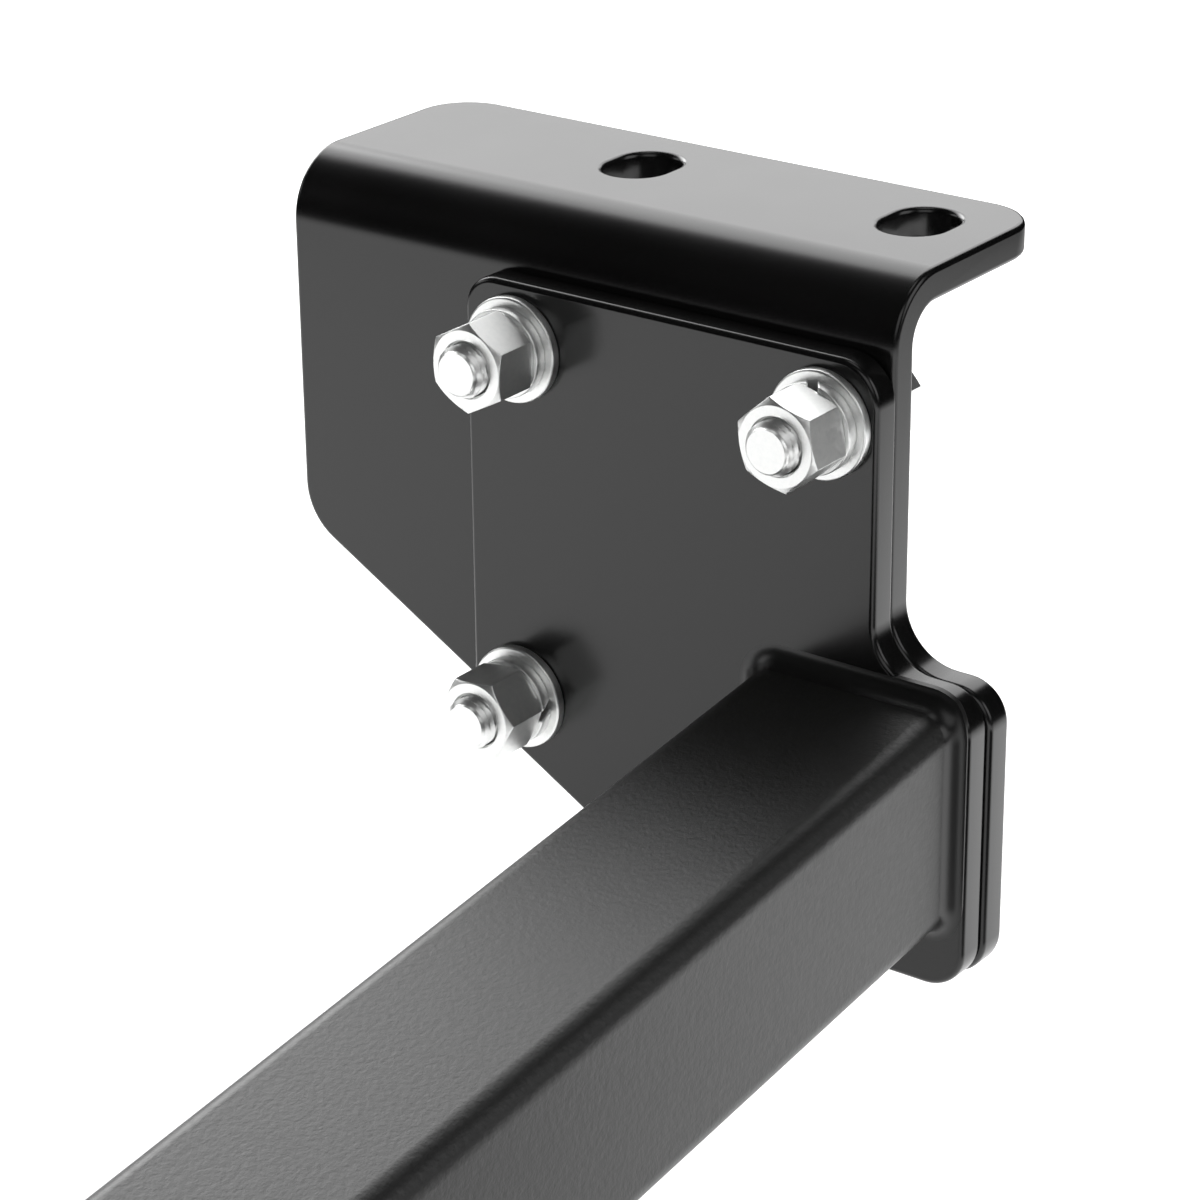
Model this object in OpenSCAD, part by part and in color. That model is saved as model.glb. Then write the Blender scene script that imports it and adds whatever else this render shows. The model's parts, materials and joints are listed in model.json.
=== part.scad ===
// Trailer hitch receiver: a bent cross tube between two end plates, with a bolted side bracket
// at each end and a square receiver tube under its middle.
// +X is the vehicle's right, +Y is forward, +Z is up. The origin is the centre of the four
// frame slots, on the flat top of the two side brackets.

/* [Cross tube] */
// Outside width of the square cross tube
tube_w = 50; // [44:1:56]
// Wall of the cross tube
tube_wall = 5; // [3:0.5:5.5]
// Outside corner radius of the cross tube
tube_corner = 6; // [6:0.5:9]
// Length between the inner faces of the end plates
span = 900; // [760:10:1100]
// Slope of the two arms, which rise from the middle to the end plates, in degrees
arm_slope = 6.8; // [3:0.2:10]
// Length of the level middle
flat_len = 240; // [180:10:300]
// Radius of the two bends, at the middle of the tube
bend_r = 200; // [150:10:300]

/* [End plates] */
// Thickness of an end plate
plate_t = 7.5; // [5:0.5:12]
// Front edge, ahead of the tube's centre
plate_front = 103; // [96:1:112]
// Top edge, above the tube's centre
plate_top = 97; // [88:1:100]
// Radius of the two front corners
plate_front_r = 8; // [3:1:12]
// Radius of the rear top corner
plate_rear_r = 10; // [4:1:14]
// Radius of the hollow between its neck and its foot
plate_neck_r = 11; // [5:0.5:12]
// How far it stands past the side bracket at the neck and on top of the foot
plate_over = 0.8; // [0:0.1:1.5]
// How far its foot stays short of the side bracket's foot, at the rear
plate_short = 0.8; // [0:0.1:1]

/* [Side brackets] */
// Thickness of the bent plate
bracket_t = 7.5; // [5:0.5:10]
// Front edge, ahead of the tube's centre
bracket_front = 158.5; // [145:0.5:190]
// Flat top, above the tube's centre
bracket_top = 112; // [108:0.5:130]
// Height above the tube's centre at which the belly line meets the front edge
nose_height = 24.5; // [15:0.5:35]
// Slope of the belly line, in degrees
belly_slope = 30; // [26:1:34]
// Rear edge of the neck, behind the tube's centre
neck_rear = 3.5; // [0:0.5:6]
// How far the foot reaches behind the tube's rear face
foot_behind = 4; // [2:0.5:8]
// How far the foot reaches above the tube's top face
foot_above = 2.6; // [1:0.1:5]
// How far the foot reaches below the tube's bottom face
foot_below = 15.3; // [10:0.1:24]
// Radius of the front lower corner
nose_r = 15; // [10:1:30]
// Radius of the corner between the belly and the bottom edge
toe_r = 20; // [5:1:30]
// Radius of the foot's lower rear corner
heel_r = 9.5; // [3:0.5:12]
// Radius of the foot's upper rear corner
foot_r = 9; // [4:0.5:11]
// Radius of the hollow between the neck and the foot
neck_r = 13; // [5:0.5:15]
// Inside radius of the bend between leg and flange
bend_in = 8; // [4:0.5:12]
// Reach of the flange, from the leg's inner face
flange_reach = 60.5; // [56:0.5:80]
// Radius of the flange's front outer corner
flange_front_r = 12.5; // [5:0.5:24]
// Radius of the flange's rear outer corner
flange_rear_r = 13.5; // [5:0.5:20]

/* [Frame slots] */
// Width of a slot
slot_w = 15; // [11:0.5:17]
// Length of a slot, across the vehicle
slot_l = 20; // [18:0.5:26]
// Distance between the two slots of a flange
slot_pitch = 73; // [60:1:90]
// Rear slot's centre, ahead of the bracket's rear edge
slot_rear = 19.4; // [16:0.1:26]
// Slot's centre, out from the leg's inner face
slot_out = 39.5; // [36:0.5:42]

/* [Bolts] */
// Diameter of the bolts
bolt_d = 12; // [10:1:14]
// Length under the head
bolt_len = 36; // [34:1:45]
// Radial room of a bolt in the plates
bolt_room = 0.5; // [0.3:0.1:1]
// Front bolts, back from the end plate's front edge
bolt_front = 14; // [13.5:0.5:18]
// Upper bolts, down from the end plate's top edge
bolt_upper = 14.7; // [13.5:0.1:18]
// Rear bolt, ahead of the neck's rear edge
bolt_rear = 12.5; // [11.5:0.5:18]
// Lower bolt, above the belly line
bolt_lower = 15; // [15:0.1:30]
// Hexagon across flats, of head and nut
hex_af = 18; // [17:0.5:21]
// Height of the bolt head
head_h = 8; // [6:0.5:9]
// Height of the nut
nut_h = 12; // [9:0.5:13]
// Flat washer's outside diameter
washer_d = 24; // [22:0.5:26]
// Flat washer's thickness
washer_t = 2.5; // [1.5:0.1:3]
// Split lock washer's outside diameter
lock_d = 20; // [18:0.5:21.5]
// Split lock washer's thickness
lock_t = 3; // [2:0.1:3.5]
// Gap of the split
lock_gap = 2; // [1:0.1:3]
// Radial room of a split lock washer on its bolt
lock_room = 0.3; // [0.1:0.1:0.6]
// Slant of the split, in degrees
split_slant = 35; // [20:1:45]

/* [Receiver tube] */
// Inside width, for the ball mount's shank
socket_w = 50.8; // [50.4:0.1:52]
// Wall of the receiver tube
rec_wall = 6.35; // [5:0.05:8]
// Outside corner radius
rec_corner = 9; // [8:0.5:10]
// Length
rec_len = 240; // [200:5:300]
// How far the tube reaches in front of the cross tube
rec_ahead = 25; // [15:1:40]
// Diameter of the hitch pin's hole
pin_d = 16.2; // [16:0.1:17]
// Pin's centre, from the mouth
pin_in = 63.5; // [55:0.5:75]
// Length of the collar round the mouth
collar_l = 16; // [10:1:25]
// Thickness of the collar
collar_t = 7; // [4:0.5:10]

/* [Gussets] */
// Thickness of a gusset
gusset_t = 6; // [4:0.5:10]
// Length along the receiver tube
gusset_l = 80; // [50:1:100]
// Gap between the gussets
gusset_gap = 22; // [18:1:28]
// Width of the two blunt ends
gusset_tip = 10; // [6:1:14]
// How far the cut-off lower front corner clears the cross tube's rounded corner
gusset_nick = 2; // [1:0.5:5]

/* [Safety chain plate] */
// Thickness
chain_t = 8; // [5:0.5:12]
// Depth, fore and aft
chain_depth = 52; // [46:1:60]
// Distance between the two chain holes
chain_pitch = 132; // [120:1:150]
// Diameter of a chain hole
chain_hole = 26; // [20:1:30]
// Rear edge of the plate, ahead of the collar
chain_ahead = 12; // [11:1:18]

/* [Welds] */
// Leg of the bead round the cross tube's ends
end_leg = 4.5; // [3:0.5:5]
// How far that bead stays off the end plate's rear edge
end_margin = 0.4; // [0.2:0.1:1]
// Leg of the other fillet beads
leg = 4; // [3:0.5:5]

/* [Hidden] */
$fn = 96;
tiny = 0.01;
// How far a cutting shape reaches past what it cuts
past = 1;
foot_rear = tube_w / 2 + foot_behind;
foot_top = tube_w / 2 + foot_above;
foot_bottom = tube_w / 2 + foot_below;
bend_out = bend_in + bracket_t;
bend_x = plate_t + bend_out;
bend_z = bracket_top - bend_out;
belly_rise = tan(belly_slope);
belly_toe = bracket_front - (nose_height + foot_bottom) / belly_rise;
stack = plate_t + bracket_t;
slot_mid = slot_rear - neck_rear + slot_pitch / 2;

// Where the cross tube's centre meets the end plates, in the part's frame
tube_y = -slot_mid;
tube_z = -bracket_top;

// Bolts of one end, ahead of and above the tube's centre
front_y = plate_front - bolt_front;
rear_y = bolt_rear - neck_rear;
upper_z = plate_top - bolt_upper;
lower_z = nose_height - (bracket_front - front_y) * belly_rise + bolt_lower;
BOLTS = ["front", "rear", "lower"];
bolt_at = [[front_y, upper_z], [rear_y, upper_z], [front_y, lower_z]];
// How far each nut and head is turned from +Y towards +Z, and each split from +Z towards -Y
nut_turn = [32, 18, 55];
head_turn = [10, 41, 25];
split_turn = [200, 0, 90];
hole_r = bolt_d / 2 + bolt_room;
nut_slack = 0.05;
// Diameter of a hexagon's turned end face, as a share of its width across flats
face_share = 0.98;

// The cross tube's level middle lies below its ends
arm_run = span / 2 - flat_len / 2 - bend_r * sin(arm_slope);
drop = bend_r * (1 - cos(arm_slope)) + arm_run * tan(arm_slope);
mid_z = tube_z - drop;

// A bend's wall swells a little, and it laps over its neighbours by this angle
bend_swell = 0.02;
bend_lap = 0.3;

rec_w = socket_w + 2 * rec_wall;
rec_z = mid_z - tube_w / 2 - rec_w / 2;
rec_front = tube_y + tube_w / 2 + rec_ahead;
rec_mouth = rec_front - rec_len;
gusset_x = gusset_gap / 2;
gusset_h = tube_w - 2 * tube_corner;
gusset_foot = tube_corner + gusset_nick;
chain_rear = rec_mouth + collar_l + chain_ahead;
chain_z = rec_z - rec_w / 2 - chain_t;

SIDES = ["right", "left"];
FASTENERS = ["bolt", "washer", "lock_washer", "nut"];

black = "#3c3c3b";
tube_black = "#2e2d2c";
bead_black = "#262625";
zinc = "#c8cbcd";

// Corner rounding of a polygon: at corner i the arc has the radius r[i]
function unit(v) = v / norm(v);
function at(p, i) = p[(i + len(p)) % len(p)];
function to_prev(p, i) = unit(at(p, i - 1) - at(p, i));
function to_next(p, i) = unit(at(p, i + 1) - at(p, i));
function half_angle(p, i) = acos(to_prev(p, i) * to_next(p, i)) / 2;
function tangent(p, r, i) = r[i] / tan(half_angle(p, i));
function arc_centre(p, r, i) =
    p[i] + unit(to_prev(p, i) + to_next(p, i)) * r[i] / sin(half_angle(p, i));
function hollow(p, i) = cross(-to_prev(p, i), to_next(p, i)) < 0;

// A polygon, given anticlockwise, with true arcs at its corners
module rounded(p, r) {
    difference() {
        union() {
            polygon([for (i = [0:len(p) - 1]) each r[i] == 0 ? [p[i]] : [
                p[i] + to_prev(p, i) * tangent(p, r, i),
                p[i] + to_next(p, i) * tangent(p, r, i)]]);
            for (i = [0:len(p) - 1])
                if (r[i] > 0 && !hollow(p, i)) translate(arc_centre(p, r, i)) circle(r[i]);
        }
        for (i = [0:len(p) - 1])
            if (r[i] > 0 && hollow(p, i)) translate(arc_centre(p, r, i)) circle(r[i]);
    }
}

// A square of width w about the origin, with corners of radius r
module rounded_square(w, r) {
    h = w / 2;
    rounded([[-h, -h], [h, -h], [h, h], [-h, h]], [r, r, r, r]);
}

// Stands a profile drawn in Y and Z on the YZ plane and extrudes it along +X
module along_x(h) {
    rotate([90, 0, 90]) linear_extrude(h) children();
}

// Places one end's pieces: the origin is the tube's centre on the end plate's inner face,
// and +X runs outwards
module at_end(side) {
    mirror([side == "left" ? 1 : 0, 0, 0]) translate([span / 2, tube_y, tube_z]) children();
}

// Places a fastener on its bolt's axis
module at_bolt(side, i) {
    at_end(side) translate([0, bolt_at[i][0], bolt_at[i][1]]) children();
}

// Cross-section of the cross tube, with its wall swollen by swell on both sides
module tube_section(swell) {
    difference() {
        rounded_square(tube_w + 2 * swell, tube_corner + swell);
        rounded_square(tube_w - 2 * tube_wall - 2 * swell, tube_corner - tube_wall - swell);
    }
}

// Bent square tube, cut upright at both ends. Each bend laps over the straight stretches beside it.
module cross_tube() {
    color(tube_black) translate([0, tube_y, mid_z]) {
        translate([-flat_len / 2, 0, 0]) along_x(flat_len) tube_section(0);
        for (m = [0, 1]) mirror([m, 0, 0]) {
            translate([flat_len / 2, 0, bend_r])
                rotate([0, 90, 0]) rotate([90, 0, 0]) rotate(-bend_lap)
                    rotate_extrude(angle = arm_slope + 2 * bend_lap, $fn = 360)
                        translate([bend_r, 0]) tube_section(bend_swell);
            intersection() {
                translate([flat_len / 2, 0, bend_r])
                    rotate([0, -arm_slope, 0]) translate([0, 0, -bend_r])
                        along_x(span / 2) tube_section(0);
                translate([0, -tube_w, -tube_w]) cube([span / 2, 2 * tube_w, span / 2]);
            }
        }
    }
}

// Outline of the neck, foot and belly, up to a straight top. over widens it at the neck and on top
// of the foot, short draws in the foot's rear edge, and the radii run from the front lower corner on.
module side_outline(front, top, over, short, low_r, high_r, rear_r, hollow_r) {
    neck = -neck_rear - over;
    rear = -foot_rear + short;
    rounded(
        [[front, top], [neck, top], [neck, foot_top + over], [rear, foot_top + over],
         [rear, -foot_bottom], [belly_toe, -foot_bottom],
         [front, nose_height - (bracket_front - front) * belly_rise]],
        [high_r, rear_r, hollow_r, foot_r, heel_r, toe_r, low_r]);
}

module plate_outline() {
    side_outline(plate_front, plate_top, plate_over, plate_short,
        plate_front_r, plate_front_r, plate_rear_r, plate_neck_r);
}

// The three bolt holes, through the end plate and the leg
module bolt_holes() {
    for (b = bolt_at)
        translate([-past, b[0], b[1]]) rotate([0, 90, 0]) cylinder(h = stack + 2 * past, r = hole_r);
}

// Flat plate, welded to the cross tube's end
module end_plate(side) {
    color(black) at_end(side) difference() {
        along_x(plate_t) plate_outline();
        bolt_holes();
    }
}

// One frame slot, long across the vehicle
module frame_slot() {
    half = (slot_l - slot_w) / 2;
    h = bracket_t + 2 * past;
    for (x = [-half, half]) translate([x, 0, -past]) cylinder(h = h, d = slot_w);
    translate([-half, -slot_w / 2, -past]) cube([2 * half, slot_w, h]);
}

// Bent plate: a leg bolted to the end plate, a bend, and a slotted flange for the frame rail
module side_bracket(side) {
    color(black) at_end(side) difference() {
        union() {
            translate([plate_t, 0, 0]) along_x(bracket_t)
                side_outline(bracket_front, bend_z, 0, 0, nose_r, 0, 0, neck_r);
            translate([bend_x, 0, bend_z]) rotate([-90, 0, 0]) rotate([0, 0, 180])
                rotate_extrude(angle = 90) translate([bend_in, -neck_rear])
                    square([bracket_t, bracket_front + neck_rear]);
            translate([0, 0, bracket_top - bracket_t]) linear_extrude(bracket_t) rounded(
                [[bend_x, -neck_rear], [plate_t + flange_reach, -neck_rear],
                 [plate_t + flange_reach, bracket_front], [bend_x, bracket_front]],
                [0, flange_rear_r, flange_front_r, 0]);
        }
        bolt_holes();
        for (y = [0, slot_pitch])
            translate([plate_t + slot_out, slot_rear - neck_rear + y, bracket_top - bracket_t])
                frame_slot();
    }
}

// Bead round the cross tube's end: a skirt that narrows away from the plate, kept on the plate
module tube_weld(side) {
    h = tube_w / 2;
    rear = min(end_leg, foot_behind - plate_short - end_margin);
    color(bead_black) at_end(side) difference() {
        intersection() {
            hull() {
                translate([-tiny, 0, 0]) along_x(tiny) rounded(
                    [[-h - rear, -h - end_leg], [h + end_leg, -h - end_leg],
                     [h + end_leg, h + end_leg], [-h - rear, h + end_leg]],
                    [1, 1, 1, 1] * (tube_corner + end_leg), $fn = 32);
                translate([-end_leg, 0, -end_leg * tan(arm_slope)]) along_x(tiny)
                    rounded_square(tube_w, tube_corner, $fn = 32);
            }
            translate([-end_leg - past, 0, 0]) along_x(end_leg + past) plate_outline();
        }
        rotate([0, -arm_slope, 0]) translate([-4 * end_leg, 0, 0])
            along_x(8 * end_leg) rounded_square(tube_w, tube_corner);
    }
}

// Turns a profile drawn in X and Z and extrudes it from y towards the rear
module along_y(y, h) {
    translate([0, y, 0]) rotate([90, 0, 0]) linear_extrude(h) children();
}

// Square tube that takes the ball mount, with the pin's hole through both side walls
module receiver_tube() {
    color(black) difference() {
        translate([0, 0, rec_z]) along_y(rec_front, rec_len) rounded_square(rec_w, rec_corner);
        translate([0, 0, rec_z]) along_y(rec_front + past, rec_len + 2 * past)
            rounded_square(socket_w, rec_corner - rec_wall);
        translate([-rec_w, rec_mouth + pin_in, rec_z]) rotate([0, 90, 0])
            cylinder(h = 2 * rec_w, d = pin_d);
    }
}

// Square ring that stiffens the mouth
module receiver_collar() {
    color(black) translate([0, 0, rec_z]) along_y(rec_mouth + collar_l, collar_l) difference() {
        rounded_square(rec_w + 2 * collar_t, rec_corner + collar_t);
        rounded_square(rec_w, rec_corner);
    }
}

// Upright plate between the cross tube's rear face and the receiver tube's top
module gusset(side) {
    y = tube_y - tube_w / 2;
    z = rec_z + rec_w / 2;
    color(black) mirror([side == "left" ? 1 : 0, 0, 0]) translate([gusset_x, y, z])
        along_x(gusset_t) polygon([
            [0, gusset_foot], [-gusset_foot, 0], [-gusset_l, 0], [-gusset_l, gusset_tip],
            [-gusset_tip, tube_corner + gusset_h], [0, tube_corner + gusset_h]]);
}

// Cross-section of a fillet bead in the corner between two faces at right angles
module fillet(l) {
    bulge = l / 12;
    polygon([[0, 0], [l, 0], [l / 2 + bulge, l / 2 + bulge], [0, l]]);
}

// Beads on both sides of a gusset, along the receiver tube and up the cross tube
module gusset_welds(side) {
    y = tube_y - tube_w / 2;
    z = rec_z + rec_w / 2;
    color(bead_black) mirror([side == "left" ? 1 : 0, 0, 0]) translate([gusset_x, y, z])
        for (m = [0, 1]) translate([m * gusset_t, 0, 0]) mirror([1 - m, 0, 0]) {
            along_y(-gusset_foot, gusset_l - gusset_foot) fillet(leg);
            translate([0, 0, gusset_foot]) linear_extrude(gusset_h + tube_corner - gusset_foot)
                mirror([0, 1]) fillet(leg);
        }
}

// Beads that fill the grooves between the cross tube's and the receiver tube's rounded corners
module receiver_welds() {
    z = rec_z + rec_w / 2;
    flat_x = rec_w / 2 - rec_corner;
    flat_y = tube_w / 2 - tube_corner;
    face = leg + past;
    color(bead_black) {
        for (m = [0, 1]) translate([-flat_x, tube_y, z]) mirror([0, m, 0]) along_x(2 * flat_x)
            difference() {
                translate([flat_y, 0]) square([tube_corner + leg, tube_corner]);
                translate([flat_y, tube_corner]) circle(tube_corner);
                translate([tube_w / 2 + face, tube_corner + past]) circle(face);
            }
        for (m = [0, 1]) mirror([m, 0, 0]) along_y(tube_y + flat_y, 2 * flat_y)
            translate([flat_x, z - rec_corner]) difference() {
                square([rec_corner, rec_corner]);
                circle(rec_corner);
                translate([rec_corner + past, 0]) circle(rec_corner / 2);
            }
    }
}

// Bead between the collar's front face and the receiver tube: four runs and four corners
module collar_weld() {
    flat = rec_w / 2 - rec_corner;
    color(bead_black) translate([0, rec_mouth + collar_l, rec_z]) rotate([-90, 0, 0])
        for (a = [0:90:270]) rotate([0, 0, a]) {
            translate([rec_w / 2, flat, 0]) rotate([90, 0, 0]) linear_extrude(2 * flat) fillet(leg);
            translate([flat, flat, 0]) rotate_extrude(angle = 90) translate([rec_corner, 0])
                fillet(leg);
        }
}

// Flat bar with round ends under the receiver tube, with a hole for each safety chain's hook
module chain_plate() {
    color(black) translate([0, chain_rear + chain_depth / 2, chain_z]) difference() {
        linear_extrude(chain_t) union() {
            square([chain_pitch, chain_depth], center = true);
            for (x = [-1, 1] * chain_pitch / 2) translate([x, 0]) circle(d = chain_depth);
        }
        for (x = [-1, 1] * chain_pitch / 2) translate([x, 0, -past])
            cylinder(h = chain_t + 2 * past, d = chain_hole);
    }
}

// Beads between the chain plate and the receiver tube: along both sides, and under the front
module chain_plate_welds() {
    flat = rec_w / 2 - rec_corner;
    bottom = rec_z - rec_w / 2;
    color(bead_black) {
        for (m = [0, 1]) mirror([m, 0, 0]) along_y(chain_rear + chain_depth, chain_depth)
            translate([flat, bottom]) difference() {
                square([rec_corner, rec_corner]);
                translate([0, rec_corner]) circle(rec_corner);
                translate([rec_corner + past, rec_corner]) circle(rec_corner / 2);
            }
        translate([-flat, chain_rear + chain_depth, bottom]) mirror([0, 0, 1])
            along_x(2 * flat) fillet(leg);
        translate([-flat, chain_rear, bottom]) mirror([0, 1, 0]) mirror([0, 0, 1])
            along_x(2 * flat) fillet(leg);
    }
}

// A hexagon prism along +X whose corners are turned off by a cone, at one end or both
module hex(h, turn, both) {
    corner = hex_af / 2 / cos(30);
    face_r = hex_af / 2 * face_share;
    cone_r = corner + past;
    rise = (cone_r - face_r) * tan(30);
    intersection() {
        along_x(h) rotate(turn) circle(corner, $fn = 6);
        rotate([0, 90, 0]) rotate_extrude() polygon([
            [0, 0], [both ? face_r : cone_r, 0], [cone_r, both ? rise : 0],
            [cone_r, h - rise], [face_r, h], [0, h]]);
    }
}

// Bolt, put in from outside: head on the side bracket, threaded end past the nut
module bolt(side, i) {
    chamfer = bolt_d / 10;
    color(zinc) at_bolt(side, i) translate([stack, 0, 0]) {
        hex(head_h, head_turn[i], false);
        rotate([0, -90, 0]) rotate_extrude() polygon([
            [0, -head_h / 2], [bolt_d / 2, -head_h / 2], [bolt_d / 2, bolt_len - chamfer],
            [bolt_d / 2 - chamfer, bolt_len], [0, bolt_len]]);
    }
}

module ring(d, hole, t) {
    rotate([0, 90, 0]) difference() {
        cylinder(h = t, d = d);
        translate([0, 0, -past]) cylinder(h = t + 2 * past, r = hole);
    }
}

// Flat washer on the end plate's inner face
module washer(side, i) {
    color(zinc) at_bolt(side, i) translate([-washer_t, 0, 0]) ring(washer_d, hole_r, washer_t);
}

// Split lock washer between the flat washer and the nut
module lock_washer(side, i) {
    color(zinc) at_bolt(side, i) translate([-washer_t - lock_t, 0, 0]) difference() {
        ring(lock_d, bolt_d / 2 + lock_room, lock_t);
        rotate([split_turn[i], 0, 0]) translate([lock_t / 2, 0, lock_d / 2])
            rotate([0, 0, split_slant]) cube([2 * lock_t, lock_gap, lock_d / 2], center = true);
    }
}

module nut(side, i) {
    color(zinc) at_bolt(side, i) translate([-washer_t - lock_t - nut_h, 0, 0]) difference() {
        hex(nut_h, nut_turn[i], true);
        translate([-past, 0, 0]) rotate([0, 90, 0])
            cylinder(h = nut_h + 2 * past, r = bolt_d / 2 + nut_slack);
    }
}

cross_tube();
receiver_tube();
receiver_collar();
chain_plate();
receiver_welds();
collar_weld();
chain_plate_welds();
for (s = SIDES) {
    end_plate(s);
    side_bracket(s);
    tube_weld(s);
    gusset(s);
    gusset_welds(s);
    for (i = [0:2]) {
        bolt(s, i);
        washer(s, i);
        lock_washer(s, i);
        nut(s, i);
    }
}
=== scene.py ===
"""Trailer hitch receiver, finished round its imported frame.

Gloss and textured black powder coat on the plates and tubes, painted weld beads and bright zinc
fasteners, on a pale studio floor. Sizes are millimetres times MM, in the part's own frame: +X is
the vehicle's right, +Y forward and +Z up.
"""
import json
import math

import bmesh
import bpy
from mathutils import Euler, Matrix, Vector

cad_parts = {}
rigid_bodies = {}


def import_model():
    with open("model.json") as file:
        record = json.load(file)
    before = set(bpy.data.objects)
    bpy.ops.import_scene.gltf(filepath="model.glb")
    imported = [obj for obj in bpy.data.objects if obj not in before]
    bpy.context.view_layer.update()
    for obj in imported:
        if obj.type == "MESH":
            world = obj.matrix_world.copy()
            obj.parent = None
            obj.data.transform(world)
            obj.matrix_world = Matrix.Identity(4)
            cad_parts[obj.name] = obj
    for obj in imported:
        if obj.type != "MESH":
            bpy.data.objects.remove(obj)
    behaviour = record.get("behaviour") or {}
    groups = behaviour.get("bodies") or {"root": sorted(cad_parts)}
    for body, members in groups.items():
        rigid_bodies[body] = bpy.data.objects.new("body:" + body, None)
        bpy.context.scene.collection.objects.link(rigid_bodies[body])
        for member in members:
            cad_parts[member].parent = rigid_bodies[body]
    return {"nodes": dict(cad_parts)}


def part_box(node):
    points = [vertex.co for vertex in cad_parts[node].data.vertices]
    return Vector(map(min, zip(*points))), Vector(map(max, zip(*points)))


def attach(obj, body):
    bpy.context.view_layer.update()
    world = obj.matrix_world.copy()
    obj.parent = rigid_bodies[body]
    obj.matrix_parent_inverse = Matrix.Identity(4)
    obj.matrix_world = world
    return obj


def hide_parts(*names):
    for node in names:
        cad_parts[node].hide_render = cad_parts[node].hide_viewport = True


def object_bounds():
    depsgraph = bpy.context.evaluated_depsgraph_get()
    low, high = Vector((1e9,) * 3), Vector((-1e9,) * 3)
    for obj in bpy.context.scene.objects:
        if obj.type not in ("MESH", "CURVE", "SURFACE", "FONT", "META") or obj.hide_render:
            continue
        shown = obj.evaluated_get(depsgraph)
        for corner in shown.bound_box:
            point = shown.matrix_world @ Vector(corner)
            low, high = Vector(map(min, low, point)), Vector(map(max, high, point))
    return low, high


MM = 0.001
SIDES = {"right": 1, "left": -1}
BOLTS = ("front", "rear", "lower")

# The viewpoint: where the lens stands, where it looks, and its focal length on a 36 mm sensor
CAMERA_PLACE = (-166.3 * MM, -447.2 * MM, 247.5 * MM)
CAMERA_YAW = 0.6429
CAMERA_PITCH = 0.4065
CAMERA_ROLL = -0.0107
CAMERA_LENS = 114.35
CAMERA_SENSOR = 36
CAMERA_CLIP = 0.02

# Cross tube
TUBE_CORNER = 6 * MM
TUBE_WALL = 5 * MM
ARM_SLOPE = math.radians(6.8)
LEVEL_LENGTH = 240 * MM
BEND_RADIUS = 200 * MM
CORNER_STEPS = 8
BEND_STEPS = 8

# Rounding that the powder coat leaves on the cut edges
PLATE_EDGE = 1.3 * MM
BRACKET_EDGE = 1.3 * MM
TUBE_EDGE = 1.0 * MM
GUSSET_EDGE = 0.8 * MM

# Fasteners: M12, coarse thread. The flank number makes the root of the thread wider than its crest
BOLT_RADIUS = 6 * MM
THREAD_PITCH = 1.75 * MM
THREAD_DEPTH = 0.95 * MM
THREAD_FLANK = 1.3
THREAD_LENGTH = 26 * MM
THREAD_SIDES = 48
THREAD_RINGS = 10
POINT_CHAMFER = 1.3 * MM
COUNTERSINK = 0.5 * MM
RIM_ROOM = 0.3 * MM
RIM_TILT = 0.1 * MM
NUT_EDGE = 0.3 * MM
WASHER_EDGE = 0.5 * MM
LOCK_WASHER_EDGE = 0.35 * MM

# Weld beads: their legs, the corners that they run round or stop short of, the length and depth of
# their ripples, how deep their roots reach into the steel, and how small they start and end
END_LEG = 4.5 * MM
REAR_LEG = 2.8 * MM
SMALL_LEG = 4 * MM
GROOVE_LEG = 5 * MM
CORNER_LEG = 6 * MM
CORNER_INSET = 0.62 * CORNER_LEG
GUSSET_COPE = 8 * MM
RECEIVER_CORNER = 9 * MM
RIPPLE = 1.8 * MM
RIPPLE_DEPTH = 0.03
RIPPLE_STEPS = 4
ROOT = 1.2 * MM
RUN_END = 0.45

# Angles above which an edge is rounded, or stays a crease in the shading, and the largest angle
# between triangles that are merged into one flat face
ROUNDED_ANGLE = math.radians(28)
THREAD_CREASE = math.radians(36)
TUBE_CREASE = math.radians(40)
WELD_CREASE = math.radians(50)
FLAT_ANGLE = math.radians(0.3)

# Points closer than this are merged: in a copied mesh, at the mirror plane and along a bead
COPY_GAP = 0.002 * MM
MIRROR_GAP = 0.01 * MM
BEAD_GAP = 0.001 * MM

# Sockets of a Mix node that mixes colours
MIX_A = 6
MIX_B = 7
MIX_RESULT = 2

# Studio floor, with painted light and shade. Its glow is painted light, stronger to three sides, to the
# camera
# and in mirrored light: direction, where the glow starts and is full, and strength. Mirrored, it is painted
# lit out to one radius and dark from the next one, and dark in a round painted shade behind the right end
# too
FLOOR_RADIUS = 2.0
FLOOR_SIDES = 96
FLOOR_GLOWS = (
    ((1, -1, 0), 0.3, 0.95, 0.7),
    ((0, 1, 0), 0.12, 0.38, 0.28),
    ((-1, -1, 0), 0.3, 0.95, 0.5))
FLOOR_LIT = 0.7
FLOOR_DARK = 1.6
SHADE_PLACE = (0.39, -0.41, -0.246)
SHADE_NEAR = 0.12
SHADE_FAR = 0.24

# Studio light: all round light for matt surfaces, the dark walls that a mirror shows, and softboxes as
# azimuth from +X, elevation, half width, half height, edge, and brightness at the bottom and at the
# top. A ray meets a softbox only where the cosine of the angle between them is over the limit
AMBIENT = 1.0
DARK_WALL = 0.001
SOFTBOX_LIMIT = 0.05
SOFTBOXES = (
    (38, 32, 0.6, 0.4, 0.16, 2.3, 3.3),
    (68, 24, 0.3, 0.22, 0.2, 4.4, 4.4),
    (110, 17, 0.25, 0.14, 0.16, 1.5, 1.5),
    (0, 88, 0.2, 0.2, 0.15, 1.2, 1.2),
    (285, 25, 0.35, 0.35, 0.2, 1.2, 1.8),
    (215, 30, 0.35, 0.35, 0.2, 0.8, 1.2))

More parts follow.
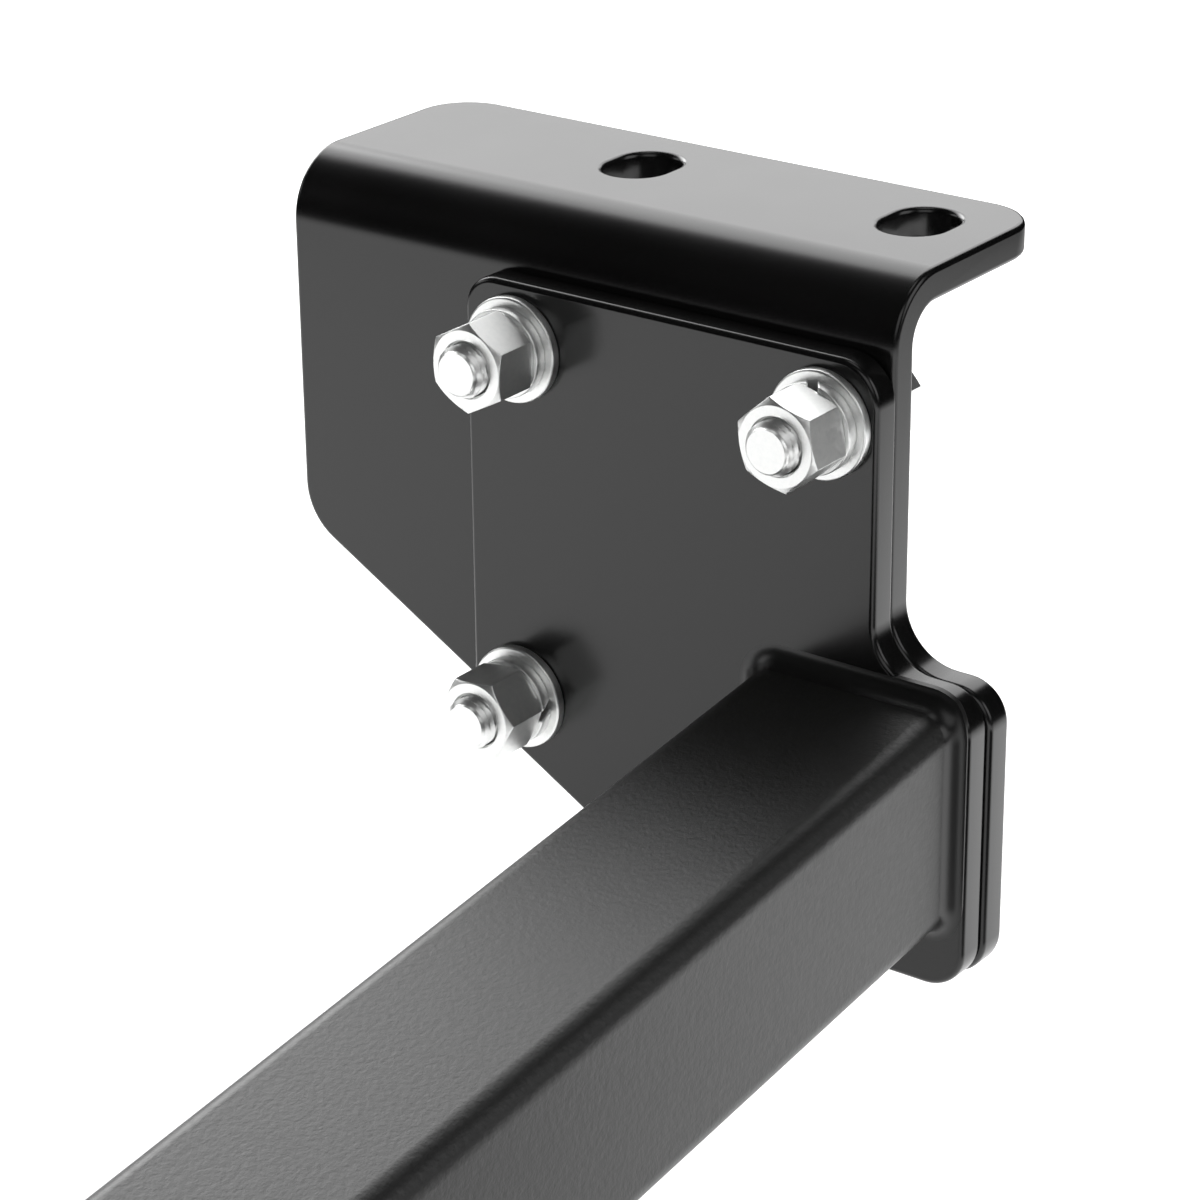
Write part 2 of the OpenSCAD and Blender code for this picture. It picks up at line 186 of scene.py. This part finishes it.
bpy.ops.object.select_all(action="SELECT")
bpy.ops.object.delete()
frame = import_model()
cad_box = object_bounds()


# Small helpers for modelling


def only(piece):
    """Leaves one piece selected and active."""
    bpy.ops.object.select_all(action="DESELECT")
    piece.select_set(True)
    bpy.context.view_layer.objects.active = piece


def new_name(name):
    """Names the piece that was just added, and settles its place into its mesh."""
    piece = bpy.context.object
    piece.name = name
    piece.data.name = name
    bpy.ops.object.transform_apply(location=True, rotation=True, scale=True)
    return piece


def pick(piece, kind, test):
    """Opens the piece in edit mode with only the vertices, edges or faces that pass the test selected."""
    only(piece)
    bpy.ops.object.mode_set(mode="EDIT")
    bpy.ops.mesh.select_mode(type={"verts": "VERT", "edges": "EDGE", "faces": "FACE"}[kind])
    bpy.ops.mesh.select_all(action="DESELECT")
    mesh = bmesh.from_edit_mesh(piece.data)
    for element in getattr(mesh, kind):
        if test(element):
            element.select_set(True)
    mesh.select_flush_mode()
    bmesh.update_edit_mesh(piece.data)


def close_edit():
    """Goes back to object mode."""
    bpy.ops.object.mode_set(mode="OBJECT")


def apply_modifier(piece, kind, **settings):
    """Adds a modifier with its settings and applies it."""
    only(piece)
    modifier = piece.modifiers.new(kind.lower(), kind)
    for key, value in settings.items():
        setattr(modifier, key, value)
    bpy.ops.object.modifier_apply(modifier=modifier.name)


def soften(piece, width, segments=3, clamp=False):
    """Rounds every sharp edge and keeps the flat faces flat in the shading. clamp narrows the rounding
    where edges run close together, as round the turned corners of a nut."""
    only(piece)
    bpy.ops.object.shade_smooth()
    apply_modifier(
        piece, "BEVEL", width=width, segments=segments, limit_method="ANGLE",
        angle_limit=ROUNDED_ANGLE, loop_slide=False, use_clamp_overlap=clamp)
    apply_modifier(piece, "WEIGHTED_NORMAL", weight=100, keep_sharp=False)


def finish_piece(piece, slot, material, *nodes):
    """Gives a piece its material and its body, and lets it stand for its CAD nodes. slot is not used."""
    piece.data.materials.clear()
    piece.data.materials.append(material)
    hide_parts(*nodes)
    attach(piece, "root")


def merged_copy(node):
    """A copy of a CAD node, its loose triangles merged into whole faces."""
    piece = bpy.data.objects.new(node + "_finished", frame["nodes"][node].data.copy())
    bpy.context.scene.collection.objects.link(piece)
    only(piece)
    bpy.ops.mesh.customdata_custom_splitnormals_clear()
    bpy.ops.object.mode_set(mode="EDIT")
    bpy.ops.mesh.select_all(action="SELECT")
    bpy.ops.mesh.remove_doubles(threshold=COPY_GAP)
    bpy.ops.mesh.dissolve_limited(angle_limit=FLAT_ANGLE)
    close_edit()
    return piece


# Materials


def linear(code):
    """The linear colour of an sRGB hex value."""
    parts = [int(code[i:i + 2], 16) / 255 for i in (1, 3, 5)]
    return [c / 12.92 if c <= 0.04045 else ((c + 0.055) / 1.055) ** 2.4 for c in parts] + [1]


def per_size(size):
    """Noise scale that gives grains of that real size."""
    return 1 / size


def add(tree, kind, values=None, **settings):
    """Adds a node, sets its properties, and sets or links its inputs."""
    made = tree.nodes.new(kind)
    for key, value in settings.items():
        setattr(made, key, value)
    for key, value in (values or {}).items():
        if isinstance(value, bpy.types.NodeSocket):
            tree.links.new(value, made.inputs[key])
        else:
            made.inputs[key].default_value = value
    return made


def new_material(name):
    """An empty node material and its tree."""
    material = bpy.data.materials.new(name)
    material.use_nodes = True
    material.node_tree.nodes.clear()
    return material, material.node_tree


def gloss_powder_coat():
    """Polyester powder coat, baked to a gloss: near black, with a faint orange peel that softens
    what it mirrors."""
    material, tree = new_material("gloss_black_powder_coat")
    place = add(tree, "ShaderNodeTexCoord").outputs["Object"]
    peel = add(tree, "ShaderNodeTexNoise", {
        "Vector": place, "Scale": per_size(2.2 * MM), "Detail": 1.0, "Roughness": 0.4})
    cloud = add(tree, "ShaderNodeTexNoise", {
        "Vector": place, "Scale": per_size(35 * MM), "Detail": 3.0, "Roughness": 0.5})
    tone = add(tree, "ShaderNodeMix", {
        "Factor": cloud.outputs["Fac"], MIX_A: linear("#040404"), MIX_B: linear("#070707")},
        data_type="RGBA")
    gloss = add(tree, "ShaderNodeMapRange", {
        "Value": cloud.outputs["Fac"], "To Min": 0.18, "To Max": 0.24})
    bump = add(tree, "ShaderNodeBump", {
        "Height": peel.outputs["Fac"], "Strength": 0.06, "Distance": 0.05 * MM})
    shader = add(tree, "ShaderNodeBsdfPrincipled", {
        "Base Color": tone.outputs[MIX_RESULT], "Roughness": gloss.outputs["Result"], "IOR": 1.5,
        "Normal": bump.outputs["Normal"]})
    add(tree, "ShaderNodeOutputMaterial", {"Surface": shader.outputs["BSDF"]})
    return material


def textured_powder_coat():
    """Sand-texture powder coat: black with a fine even grain that scatters the light to a satin grey."""
    material, tree = new_material("textured_black_powder_coat")
    place = add(tree, "ShaderNodeTexCoord").outputs["Object"]
    grain = add(tree, "ShaderNodeTexNoise", {
        "Vector": place, "Scale": per_size(1.3 * MM), "Detail": 2.0, "Roughness": 0.6})
    cloud = add(tree, "ShaderNodeTexNoise", {
        "Vector": place, "Scale": per_size(28 * MM), "Detail": 3.0, "Roughness": 0.5})
    tone = add(tree, "ShaderNodeMix", {
        "Factor": cloud.outputs["Fac"], MIX_A: linear("#070707"), MIX_B: linear("#0c0c0b")},
        data_type="RGBA")
    gloss = add(tree, "ShaderNodeMapRange", {
        "Value": grain.outputs["Fac"], "To Min": 0.36, "To Max": 0.46})
    bump = add(tree, "ShaderNodeBump", {
        "Height": grain.outputs["Fac"], "Strength": 0.7, "Distance": 0.12 * MM})
    shader = add(tree, "ShaderNodeBsdfPrincipled", {
        "Base Color": tone.outputs[MIX_RESULT], "Roughness": gloss.outputs["Result"], "IOR": 1.55,
        "Normal": bump.outputs["Normal"]})
    add(tree, "ShaderNodeOutputMaterial", {"Surface": shader.outputs["BSDF"]})
    return material


def painted_weld():
    """Powder coat over a weld bead: the coat is thicker in the hollows, so the sheen is softer than
    on the plates."""
    material, tree = new_material("painted_weld_bead")
    place = add(tree, "ShaderNodeTexCoord").outputs["Object"]
    lumps = add(tree, "ShaderNodeTexNoise", {
        "Vector": place, "Scale": per_size(3 * MM), "Detail": 2.0, "Roughness": 0.5})
    tone = add(tree, "ShaderNodeMix", {
        "Factor": lumps.outputs["Fac"], MIX_A: linear("#040404"), MIX_B: linear("#070707")},
        data_type="RGBA")
    bump = add(tree, "ShaderNodeBump", {
        "Height": lumps.outputs["Fac"], "Strength": 0.1, "Distance": 0.1 * MM})
    shader = add(tree, "ShaderNodeBsdfPrincipled", {
        "Base Color": tone.outputs[MIX_RESULT], "Roughness": 0.32, "IOR": 1.5,
        "Normal": bump.outputs["Normal"]})
    add(tree, "ShaderNodeOutputMaterial", {"Surface": shader.outputs["BSDF"]})
    return material


def bright_zinc():
    """Steel with clear-passivated zinc plate, barrel plated: a bright satin with a fine mottled grain."""
    material, tree = new_material("bright_zinc_plate")
    place = add(tree, "ShaderNodeTexCoord").outputs["Object"]
    haze = add(tree, "ShaderNodeTexNoise", {
        "Vector": place, "Scale": per_size(1.2 * MM), "Detail": 4.0, "Roughness": 0.65})
    tone = add(tree, "ShaderNodeMix", {
        "Factor": haze.outputs["Fac"], MIX_A: linear("#dcdede"), MIX_B: linear("#f4f4f2")},
        data_type="RGBA")
    gloss = add(tree, "ShaderNodeMapRange", {
        "Value": haze.outputs["Fac"], "To Min": 0.3, "To Max": 0.42})
    bump = add(tree, "ShaderNodeBump", {
        "Height": haze.outputs["Fac"], "Strength": 0.25, "Distance": 0.08 * MM})
    shader = add(tree, "ShaderNodeBsdfPrincipled", {
        "Base Color": tone.outputs[MIX_RESULT], "Metallic": 1.0, "Roughness": gloss.outputs["Result"],
        "Normal": bump.outputs["Normal"]})
    add(tree, "ShaderNodeOutputMaterial", {"Surface": shader.outputs["BSDF"]})
    return material


GLOSS_COAT = gloss_powder_coat()
TEXTURED_COAT = textured_powder_coat()
WELD_COAT = painted_weld()
ZINC = bright_zinc()


# Plates and tubes


def cross_tube():
    """Bent square tube: the profile runs out level, spins through the bend, climbs the arm and is
    cut upright at the end plate, and is then mirrored and given its wall."""
    low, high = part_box("cross_tube")
    width = round(high.y - low.y, 3)
    y = (low.y + high.y) / 2
    z = low.z + width / 2
    along_arm = Vector((math.cos(ARM_SLOPE), 0, math.sin(ARM_SLOPE)))
    bpy.ops.mesh.primitive_plane_add(size=width, location=(0, y, z), rotation=(0, math.pi / 2, 0))
    tube = new_name("cross_tube_finished")
    pick(tube, "verts", lambda v: True)
    bpy.ops.mesh.bevel(offset=TUBE_CORNER, segments=CORNER_STEPS, affect="VERTICES")
    bpy.ops.mesh.extrude_region_move(TRANSFORM_OT_translate={"value": (LEVEL_LENGTH / 2, 0, 0)})
    bpy.ops.mesh.spin(
        steps=BEND_STEPS, angle=ARM_SLOPE, center=(LEVEL_LENGTH / 2, y, z + BEND_RADIUS), axis=(0, 1, 0))
    bpy.ops.mesh.extrude_region_move(TRANSFORM_OT_translate={"value": along_arm * high.x})
    bpy.ops.mesh.select_all(action="SELECT")
    bpy.ops.mesh.bisect(plane_co=(high.x, 0, 0), plane_no=(1, 0, 0), clear_outer=True)
    close_edit()
    pick(tube, "faces", lambda f: abs(f.calc_center_median().x) < MM)
    bpy.ops.mesh.delete(type="FACE")
    close_edit()
    apply_modifier(tube, "MIRROR", merge_threshold=MIRROR_GAP)
    pick(tube, "faces", lambda f: True)
    bpy.ops.mesh.normals_make_consistent(inside=False)
    close_edit()
    apply_modifier(tube, "SOLIDIFY", thickness=TUBE_WALL, offset=-1, use_even_offset=True)
    only(tube)
    bpy.ops.object.shade_smooth_by_angle(angle=TUBE_CREASE)
    apply_modifier(tube, "WEIGHTED_NORMAL", weight=100, keep_sharp=True)
    finish_piece(tube, "textured_black_powder_coat", TEXTURED_COAT, "cross_tube")


def coated_plates():
    """The cut and bent plates and the receiver tube, their edges rounded under the coat."""
    edges = {"receiver_tube": TUBE_EDGE, "receiver_collar": TUBE_EDGE, "chain_plate": TUBE_EDGE}
    for side in SIDES:
        edges[side + "_end_plate"] = PLATE_EDGE
        edges[side + "_side_bracket"] = BRACKET_EDGE
        edges[side + "_gusset"] = GUSSET_EDGE
    for node, width in edges.items():
        plate = merged_copy(node)
        soften(plate, width)
        finish_piece(plate, "black_powder_coat", GLOSS_COAT, node)


# Fasteners


def thread_radius(along, angle):
    """Radius of the thread's surface at a distance from its point and an angle round the axis."""
    phase = (along / THREAD_PITCH + angle / math.tau) % 1
    flank = min(1, abs(2 * phase - 1) * THREAD_FLANK)
    crest = min(BOLT_RADIUS, BOLT_RADIUS - POINT_CHAMFER + along)
    return crest - THREAD_DEPTH * flank * min(1, along / THREAD_PITCH)


def threaded_end(axis, tip, inward):
    """A length of right-hand thread that starts at the bolt's point. inward is +1 or -1 along X."""
    middle = tip + inward * THREAD_LENGTH / 2
    bpy.ops.mesh.primitive_cylinder_add(
        vertices=THREAD_SIDES, radius=BOLT_RADIUS, depth=THREAD_LENGTH,
        location=(middle, axis.y, axis.z), rotation=(0, math.pi / 2, 0))
    thread = new_name("thread")
    rings = round(THREAD_LENGTH / THREAD_PITCH * THREAD_RINGS)
    pick(thread, "edges", lambda e: abs(e.verts[0].co.x - e.verts[1].co.x) > THREAD_LENGTH / 2)
    bpy.ops.mesh.subdivide(number_cuts=rings)
    close_edit()
    for vertex in thread.data.vertices:
        across = Vector((0, vertex.co.y - axis.y, vertex.co.z - axis.z))
        angle = math.atan2(across.z, across.y)
        along = abs(vertex.co.x - tip)
        across *= thread_radius(along, -inward * angle) / across.length
        vertex.co = Vector((vertex.co.x, axis.y + across.y, axis.z + across.z))
    return thread


def bolt(node, axis, inward):
    """Hex bolt: the head and shank follow the frame, and the free end carries a real thread."""
    low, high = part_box(node)
    tip = low.x if inward > 0 else high.x
    head = merged_copy(node)
    cut = tip + inward * THREAD_LENGTH
    pick(head, "verts", lambda v: True)
    bpy.ops.mesh.bisect(plane_co=(cut, 0, 0), plane_no=(-inward, 0, 0), clear_outer=True, use_fill=True)
    close_edit()
    soften(head, NUT_EDGE, segments=2, clamp=True)
    thread = threaded_end(axis, tip, inward)
    only(thread)
    bpy.ops.object.shade_smooth_by_angle(angle=THREAD_CREASE)
    only(head)
    thread.select_set(True)
    bpy.ops.object.join()
    finish_piece(head, "bright_zinc_plate", ZINC, node)


def nut(node, axis):
    """Hex nut with turned corners and a countersunk thread."""
    piece = merged_copy(node)
    rim = BOLT_RADIUS + RIM_ROOM

    def on_rim(edge):
        """Whether an edge runs round one of the two mouths of the nut's bore."""
        level = abs(edge.verts[0].co.x - edge.verts[1].co.x) < RIM_TILT
        return level and all(Vector((0, v.co.y - axis.y, v.co.z - axis.z)).length < rim for v in edge.verts)

    pick(piece, "edges", on_rim)
    bpy.ops.mesh.bevel(offset=COUNTERSINK, segments=1, affect="EDGES")
    close_edit()
    soften(piece, NUT_EDGE, segments=2, clamp=True)
    finish_piece(piece, "bright_zinc_plate", ZINC, node)


def fasteners():
    """The bolt, nut, washer and lock washer at each of the three places of both ends."""
    for side, outward in SIDES.items():
        for place in BOLTS:
            stem = f"{side}_{place}_"
            low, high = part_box(stem + "washer")
            axis = (low + high) / 2
            bolt(stem + "bolt", axis, outward)
            nut(stem + "nut", axis)
            for kind, width in (("washer", WASHER_EDGE), ("lock_washer", LOCK_WASHER_EDGE)):
                ring = merged_copy(stem + kind)
                soften(ring, width)
                finish_piece(ring, "bright_zinc_plate", ZINC, stem + kind)


# Weld beads


def spaced(corners, closed):
    """Points a quarter ripple apart along a path, and the distance of each from its start."""
    ends = corners + corners[:1] if closed else corners
    points, walked = [], 0.0
    for start, end in zip(ends, ends[1:]):
        length = (end - start).length
        count = max(1, round(length / (RIPPLE / RIPPLE_STEPS)))
        points += [(start.lerp(end, i / count), walked + length * i / count) for i in range(count)]
        walked += length
    if not closed:
        points.append((ends[-1], walked))
    return points, walked


def rippled_face(leg):
    """Slightly full face of a hand-laid bead, from the plate up."""
    return [(leg, 0), (0.62 * leg, 0.3 * leg), (0.42 * leg, 0.48 * leg), (0.24 * leg, 0.7 * leg), (0, leg)]


def groove_face(leg):
    """Full face that fills the groove beside a tube's rounded corner."""
    return [(leg, 0), (0.93 * leg, 0.35 * leg), (0.8 * leg, 0.7 * leg), (0.6 * leg, leg)]


def hollow_face(leg, steps=14):
    """Hollow face of a smooth bead that runs out level with both pieces."""
    turns = [math.pi * (1.5 - 0.5 * i / steps) for i in range(steps + 1)]
    return [(leg + leg * math.cos(turn), leg + leg * math.sin(turn)) for turn in turns]


def bead(name, corners, leg, closed, place, face=rippled_face, ripple=RIPPLE_DEPTH):
    """A fillet weld along a path drawn on the XY plane: X is across the plate, away from the joint (to
    the right of an open path and outside a closed one), and Z runs up the piece that stands there.
    place puts it on the part."""
    outline = [(-ROOT, -ROOT), (leg, -ROOT)] + face(leg) + [(-ROOT, leg)]
    profile_curve = bpy.data.curves.new(name + "_profile", "CURVE")
    profile_curve.dimensions = "2D"
    spline = profile_curve.splines.new("POLY")
    spline.points.add(len(outline) - 1)
    for point, (x, y) in zip(spline.points, outline):
        point.co = (-x if closed else x, y, 0, 1)
    spline.use_cyclic_u = True
    profile = bpy.data.objects.new(name + "_profile", profile_curve)

    curve = bpy.data.curves.new(name, "CURVE")
    curve.dimensions = "2D"
    curve.bevel_mode = "OBJECT"
    curve.bevel_object = profile
    curve.use_fill_caps = not closed
    points, length = spaced(corners, closed)
    path = curve.splines.new("POLY")
    path.points.add(len(points) - 1)
    for point, (co, walked) in zip(path.points, points):
        point.co = (co.x, co.y, 0, 1)
        point.radius = 1 + ripple * math.cos(math.tau * walked / RIPPLE)
        if not closed:
            from_end = min(walked, length - walked) / leg
            point.radius *= RUN_END + (1 - RUN_END) * math.sqrt(min(1, from_end * (2 - min(1, from_end))))
    path.use_cyclic_u = closed
    piece = bpy.data.objects.new(name, curve)
    bpy.context.scene.collection.objects.link(piece)
    only(piece)
    bpy.ops.object.convert(target="MESH")
    bpy.data.objects.remove(profile)
    piece = bpy.context.object
    piece.data.transform(place)
    pick(piece, "verts", lambda v: True)
    bpy.ops.mesh.remove_doubles(threshold=BEAD_GAP)
    bpy.ops.mesh.normals_make_consistent(inside=False)
    close_edit()
    only(piece)
    bpy.ops.object.shade_smooth_by_angle(angle=WELD_CREASE)
    return piece


def frame_at(origin, across, along, up):
    """Matrix that takes X to across, Y to along and Z to up, at an origin."""
    turn = Matrix((across, along, up)).transposed().to_4x4()
    return Matrix.Translation(origin) @ turn


def rounded_square(width, radius, steps=10):
    """Corners of a square path with rounded corners, anticlockwise, so that its outside is on the right."""
    half = width / 2 - radius
    path = []
    for corner, (x, y) in enumerate(((1, 1), (-1, 1), (-1, -1), (1, -1))):
        for i in range(steps + 1):
            angle = (corner + i / steps) * math.pi / 2
            path.append(Vector((x * half + radius * math.cos(angle), y * half + radius * math.sin(angle))))
    return path


def tube_welds():
    """The bead all round each end of the cross tube, narrower behind it, where the plate ends."""
    low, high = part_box("cross_tube")
    width = round(high.y - low.y, 3)
    y = (low.y + high.y) / 2
    for side, outward in SIDES.items():
        weld_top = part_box(side + "_tube_weld")[1].z
        plate_x = outward * high.x
        z = weld_top - END_LEG - width / 2
        up = Vector((-outward, 0, -math.tan(ARM_SLOPE)))
        place = frame_at((plate_x, y, z), Vector((0, -outward, 0)), Vector((0, 0, 1)), up)
        piece = bead(
            side + "_tube_weld_finished", rounded_square(width, TUBE_CORNER), END_LEG, True, place,
            hollow_face, 0.0)
        rear = y - width / 2
        for vertex in piece.data.vertices:
            if vertex.co.y < rear:
                vertex.co.y = rear + (vertex.co.y - rear) * REAR_LEG / END_LEG
        finish_piece(piece, "painted_weld_bead", WELD_COAT, side + "_tube_weld")


def straight_run(ends, across, up, leg, face=rippled_face):
    """A straight bead between two points: across leads away from the joint, and up along the piece
    that stands there."""
    along = up.cross(across)
    start, end = sorted(ends, key=lambda point: point.dot(along))
    path = [Vector((0, 0)), Vector((0, (end - start).length))]
    return bead("weld_run", path, leg, False, frame_at(start, across, along, up), face)


def finish_runs(node, runs):
    """Joins the runs of one weld node into one piece that stands for it."""
    piece = runs[0]
    only(piece)
    for other in runs:
        other.select_set(True)
    if len(runs) > 1:
        bpy.ops.object.join()
    piece.name = node + "_finished"
    finish_piece(piece, "painted_weld_bead", WELD_COAT, node)


def gusset_welds():
    """A bead on both sides of each gusset, along the receiver and up the cross tube."""
    for side in SIDES:
        low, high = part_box(side + "_gusset")
        runs = []
        for x, outward in ((low.x, -1), (high.x, 1)):
            across = Vector((outward, 0, 0))
            foot = (Vector((x, low.y, low.z)), Vector((x, high.y - GUSSET_COPE, low.z)))
            back = (Vector((x, high.y, low.z + GUSSET_COPE)), Vector((x, high.y, high.z)))
            runs.append(straight_run(foot, across, Vector((0, 0, 1)), SMALL_LEG))
            runs.append(straight_run(back, across, Vector((0, -1, 0)), SMALL_LEG))
        finish_runs(side + "_gusset_welds", runs)


def collar_weld():
    """The bead round the receiver tube, on the front face of its collar."""
    low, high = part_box("receiver_tube")
    centre = (low + high) / 2
    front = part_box("receiver_collar")[1].y
    place = frame_at(
        (centre.x, front, centre.z), Vector((1, 0, 0)), Vector((0, 0, -1)), Vector((0, 1, 0)))
    width = round(high.x - low.x, 4)
    ring = bead("collar_weld", rounded_square(width, RECEIVER_CORNER), SMALL_LEG, True, place)
    finish_runs("collar_weld", [ring])


def beside_corners(inner, outer, z, up):
    """Groove fills along both rounded corners of the receiver tube, between two places along it."""
    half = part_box("receiver_tube")[1].x
    runs = []
    for outward in (-1, 1):
        x = outward * (half - GROOVE_LEG)
        ends = (Vector((x, inner, z)), Vector((x, outer, z)))
        runs.append(straight_run(ends, Vector((outward, 0, 0)), up, GROOVE_LEG, groove_face))
    return runs


def across_receiver(y, z, across, up, leg, face):
    """A run across the flat of the receiver tube, from one rounded corner to the other."""
    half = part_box("receiver_tube")[1].x - RECEIVER_CORNER
    return straight_run((Vector((-half, y, z)), Vector((half, y, z))), across, up, leg, face)


def receiver_welds():
    """The runs that hold the receiver tube under the cross tube, before, behind and on both sides."""
    low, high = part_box("cross_tube")
    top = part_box("receiver_tube")[1].z
    runs = beside_corners(low.y + TUBE_CORNER, high.y - TUBE_CORNER, top, Vector((0, 0, -1)))
    for y, forward in ((low.y + CORNER_INSET, -1), (high.y - CORNER_INSET, 1)):
        runs.append(across_receiver(
            y, top, Vector((0, forward, 0)), Vector((0, 0, 1)), CORNER_LEG, groove_face))
    finish_runs("receiver_welds", runs)


def chain_plate_welds():
    """The runs round the chain plate, under the receiver tube."""
    low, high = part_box("chain_plate")
    runs = beside_corners(low.y, high.y, high.z, Vector((0, 0, 1)))
    for y, forward in ((low.y, -1), (high.y, 1)):
        runs.append(across_receiver(
            y, high.z, Vector((0, forward, 0)), Vector((0, 0, -1)), SMALL_LEG, rippled_face))
    finish_runs("chain_plate_welds", runs)


# Studio and camera


def panel(tree, direction, azimuth, elevation, half_width, half_height, edge, low, high):
    """Strength of a flat softbox far off, brighter towards its top, with soft edges. Its half sizes
    and the width of its edges are tangents, seen from the object."""
    turn = Matrix.Rotation(math.radians(azimuth), 3, "Z")
    facing = turn @ Matrix.Rotation(-math.radians(elevation), 3, "Y")
    ahead, aside, upward = (
        add(tree, "ShaderNodeVectorMath", {
            0: direction, 1: facing.col[i]}, operation="DOT_PRODUCT").outputs["Value"]
        for i in range(3))
    strength = add(tree, "ShaderNodeMath", {
        0: ahead, 1: SOFTBOX_LIMIT}, operation="GREATER_THAN").outputs[0]
    for across, half in ((aside, half_width), (upward, half_height)):
        slope = add(tree, "ShaderNodeMath", {0: across, 1: ahead}, operation="DIVIDE").outputs[0]
        reach = add(tree, "ShaderNodeMath", {0: slope}, operation="ABSOLUTE").outputs[0]
        inside = add(tree, "ShaderNodeMapRange", {
            "Value": reach, "From Min": half - edge / 2, "From Max": half + edge / 2,
            "To Min": 1.0, "To Max": 0.0}, interpolation_type="SMOOTHSTEP").outputs["Result"]
        strength = add(tree, "ShaderNodeMath", {0: strength, 1: inside}, operation="MULTIPLY").outputs[0]
    level = add(tree, "ShaderNodeMapRange", {
        "Value": slope, "From Min": -half_height, "From Max": half_height,
        "To Min": low, "To Max": high}).outputs["Result"]
    return add(tree, "ShaderNodeMath", {0: strength, 1: level}, operation="MULTIPLY").outputs[0]


def floor_and_studio():
    """Round pale floor in a studio whose walls are dark to a mirror and white to the camera. The floor's
    glow is painted light, and to a mirror it is painted dark far out and in a round painted shade.
    """
    bpy.ops.mesh.primitive_circle_add(
        vertices=FLOOR_SIDES, radius=FLOOR_RADIUS, fill_type="NGON", location=(0, 0, cad_box[0].z))
    floor = new_name("studio_floor")
    material, tree = new_material("pale_studio_floor")
    path = add(tree, "ShaderNodeLightPath")
    seen = add(tree, "ShaderNodeMath", {
        0: path.outputs["Is Camera Ray"], 1: path.outputs["Is Glossy Ray"]}, operation="MAXIMUM")
    seen = add(tree, "ShaderNodeMath", {
        0: seen.outputs[0], 1: path.outputs["Is Transmission Ray"]}, operation="MAXIMUM")
    place = add(tree, "ShaderNodeTexCoord").outputs["Object"]
    # Painted light: the floor glows more towards three sides, for camera and mirrored rays
    level = 0.0
    for towards, near, far, glow in FLOOR_GLOWS:
        aside = add(tree, "ShaderNodeVectorMath", {0: place, 1: towards}, operation="DOT_PRODUCT")
        part = add(tree, "ShaderNodeMapRange", {
            "Value": aside.outputs["Value"], "From Min": near, "From Max": far, "To Max": glow})
        level = add(tree, "ShaderNodeMath", {
            0: level, 1: part.outputs["Result"]}, operation="ADD").outputs[0]
    lift = add(tree, "ShaderNodeMath", {0: seen.outputs[0], 1: level}, operation="MULTIPLY")
    matt = add(tree, "ShaderNodeBsdfDiffuse", {"Color": linear("#e8e8e8")})
    glow = add(tree, "ShaderNodeEmission", {"Color": linear("#ffffff"), "Strength": lift.outputs[0]})
    both = add(tree, "ShaderNodeAddShader", {0: matt.outputs[0], 1: glow.outputs[0]})
    # Painted shade: to a mirror the floor goes dark far out and in a round spot behind the right end
    reach = add(tree, "ShaderNodeVectorMath", {0: place}, operation="LENGTH").outputs["Value"]
    away = add(tree, "ShaderNodeVectorMath", {0: place, 1: SHADE_PLACE}, operation="DISTANCE")
    falls = [
        add(tree, "ShaderNodeMapRange", {
            "Value": distance, "From Min": near, "From Max": far}, interpolation_type="SMOOTHSTEP")
        for distance, near, far in (
            (reach, FLOOR_LIT, FLOOR_DARK), (away.outputs["Value"], SHADE_FAR, SHADE_NEAR))]
    fall = add(tree, "ShaderNodeMath", {
        0: falls[0].outputs["Result"], 1: falls[1].outputs["Result"]}, operation="MAXIMUM")
    unlit = add(tree, "ShaderNodeMath", {
        0: fall.outputs[0], 1: path.outputs["Is Glossy Ray"]}, operation="MULTIPLY")
    dark = add(tree, "ShaderNodeEmission", {"Strength": DARK_WALL})
    surface = add(tree, "ShaderNodeMixShader", {
        0: unlit.outputs[0], 1: both.outputs[0], 2: dark.outputs[0]})
    add(tree, "ShaderNodeOutputMaterial", {"Surface": surface.outputs[0]})
    floor.data.materials.append(material)

    world = bpy.data.worlds.new("studio")
    bpy.context.scene.world = world
    world.use_nodes = True
    tree = world.node_tree
    tree.nodes.clear()
    path = add(tree, "ShaderNodeLightPath")
    direction = add(tree, "ShaderNodeTexCoord").outputs["Generated"]
    ambient = add(tree, "ShaderNodeMapRange", {
        "Value": path.outputs["Is Glossy Ray"], "To Min": AMBIENT, "To Max": DARK_WALL}).outputs["Result"]
    for softbox in SOFTBOXES:
        light = panel(tree, direction, *softbox)
        ambient = add(tree, "ShaderNodeMath", {0: ambient, 1: light}, operation="ADD").outputs[0]
    strength = add(tree, "ShaderNodeMath", {
        0: ambient, 1: path.outputs["Is Camera Ray"]}, operation="MAXIMUM").outputs[0]
    sky = add(tree, "ShaderNodeBackground", {"Color": linear("#ffffff"), "Strength": strength})
    add(tree, "ShaderNodeOutputWorld", {"Surface": sky.outputs[0]})


def camera():
    """The viewpoint: behind the hitch, near its middle, looking at its right end."""
    data = bpy.data.cameras.new("view")
    data.lens = CAMERA_LENS
    data.sensor_width = CAMERA_SENSOR
    data.clip_start = CAMERA_CLIP
    seen_from = bpy.data.objects.new("view", data)
    bpy.context.scene.collection.objects.link(seen_from)
    turn = Euler((math.pi / 2 - CAMERA_PITCH, 0, CAMERA_YAW - math.pi / 2)).to_matrix().to_4x4()
    seen_from.matrix_world = (
        Matrix.Translation(CAMERA_PLACE) @ turn @ Matrix.Rotation(CAMERA_ROLL, 4, "Z"))
    bpy.context.scene.camera = seen_from


camera()
cross_tube()
coated_plates()
fasteners()
tube_welds()
gusset_welds()
collar_weld()
receiver_welds()
chain_plate_welds()
floor_and_studio()
bpy.context.scene.view_settings.view_transform = "Standard"
